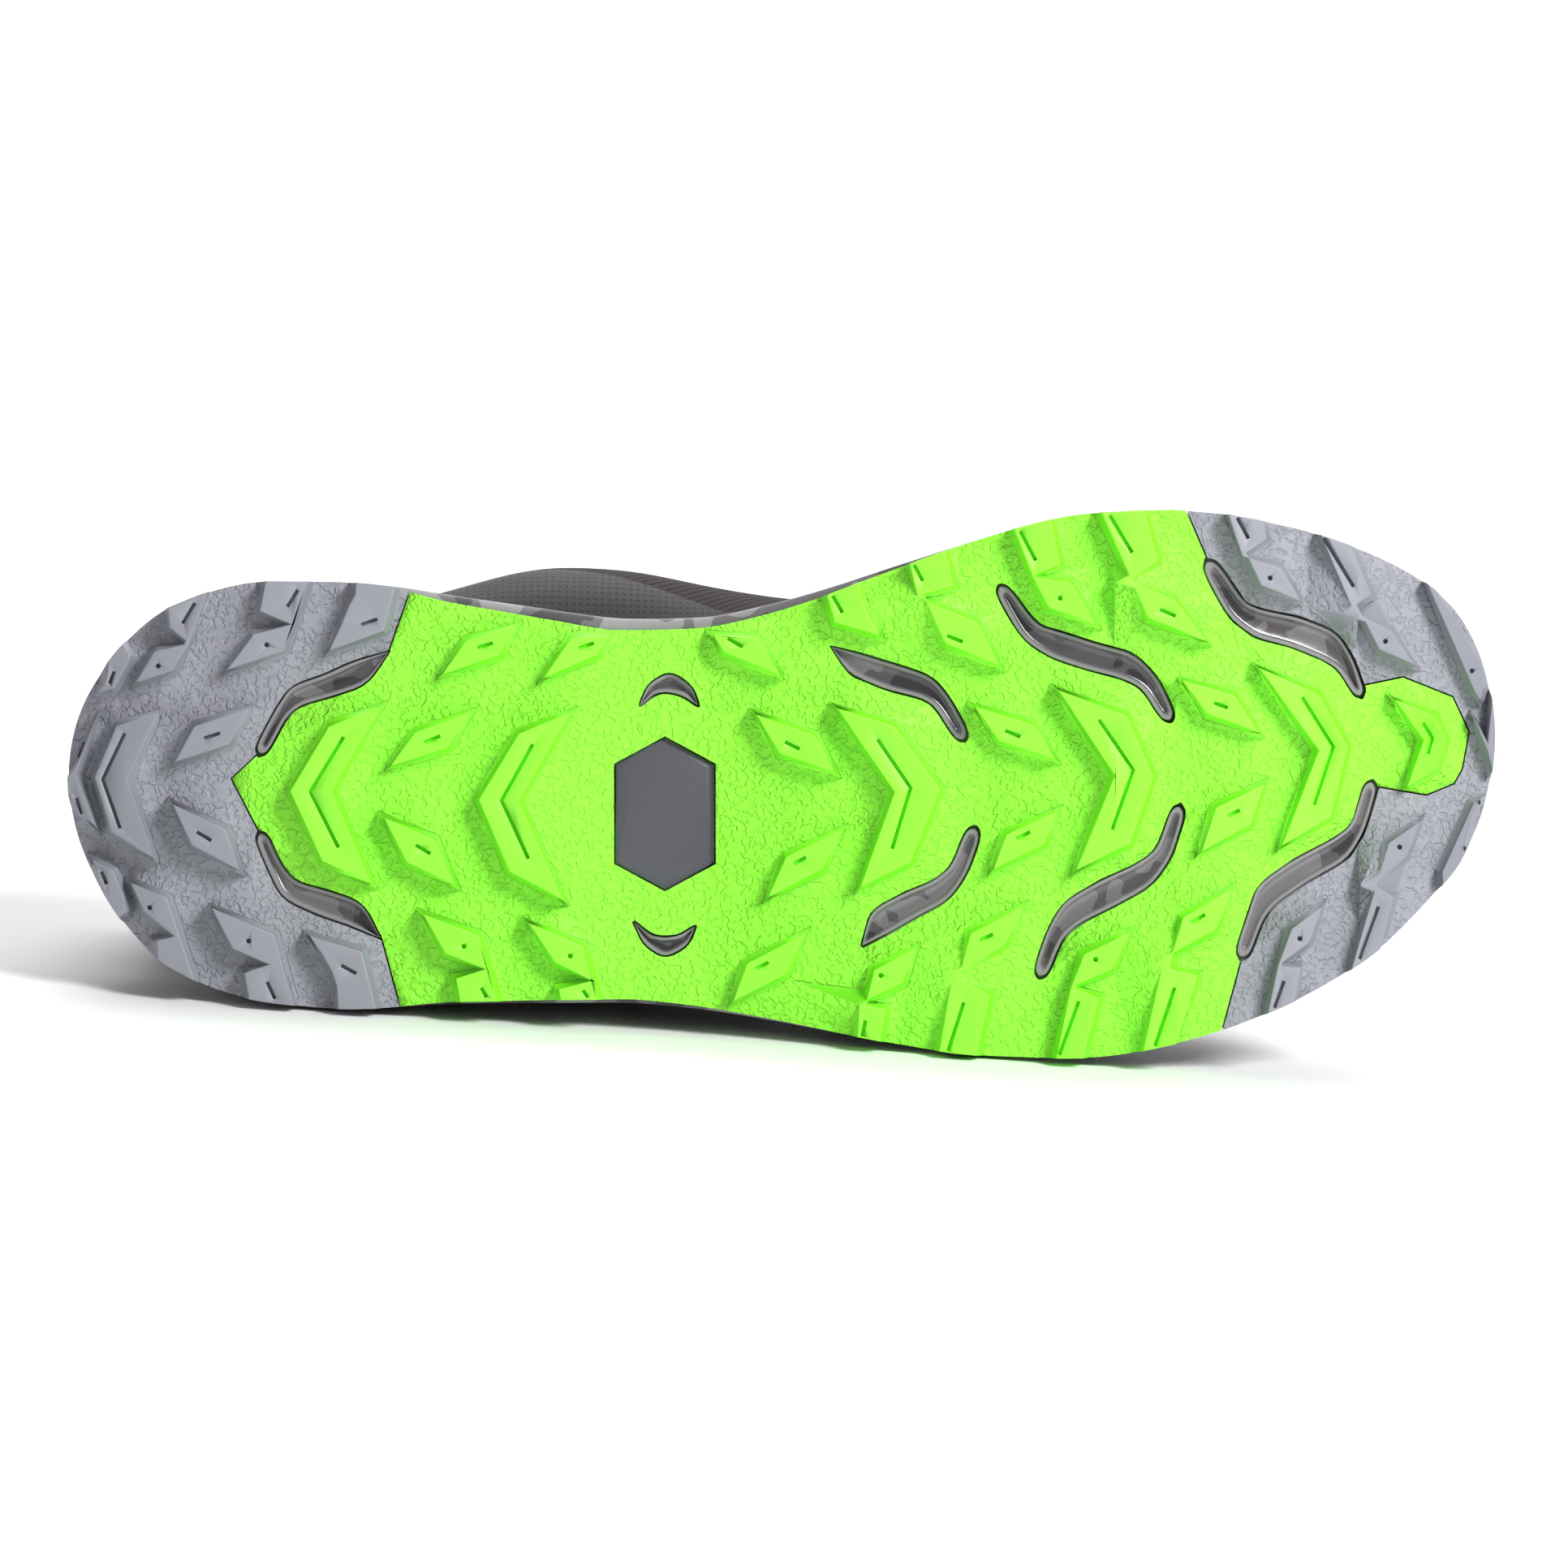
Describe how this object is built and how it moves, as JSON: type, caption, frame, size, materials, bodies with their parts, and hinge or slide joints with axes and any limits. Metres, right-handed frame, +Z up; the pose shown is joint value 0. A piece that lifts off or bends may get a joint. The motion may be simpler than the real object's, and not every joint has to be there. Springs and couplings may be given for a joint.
{
  "type": "trail running shoe",
  "caption": "Left trail running shoe lying on its side: lugged two-colour rubber outsole with windows, foam midsole, hollow knit upper, tongue, insole and laces",
  "frame": {"origin": "centre of the box on the floor that the shoe lies on", "axes": "+X from heel to toe, -Y the way the sole faces, +Z up, towards the shoe's medial side"},
  "size_m": [0.2944, 0.1214, 0.1147],
  "materials": {
    "grey_rubber": "matte",
    "green_rubber": "matte",
    "dark_rubber": "satin",
    "camouflage_foam": "satin",
    "dark_knit": "matte",
    "lining": "matte",
    "lace_braid": "matte"
  },
  "bodies": {
    "root": {"outsole_heel": "grey_rubber", "outsole_centre": "green_rubber", "outsole_toe": "grey_rubber", "arch_inlay": "dark_rubber", "midsole": "camouflage_foam", "upper": "dark_knit", "tongue": "dark_knit", "insole": "lining", "laces": "lace_braid"}
  },
  "joints": []
}
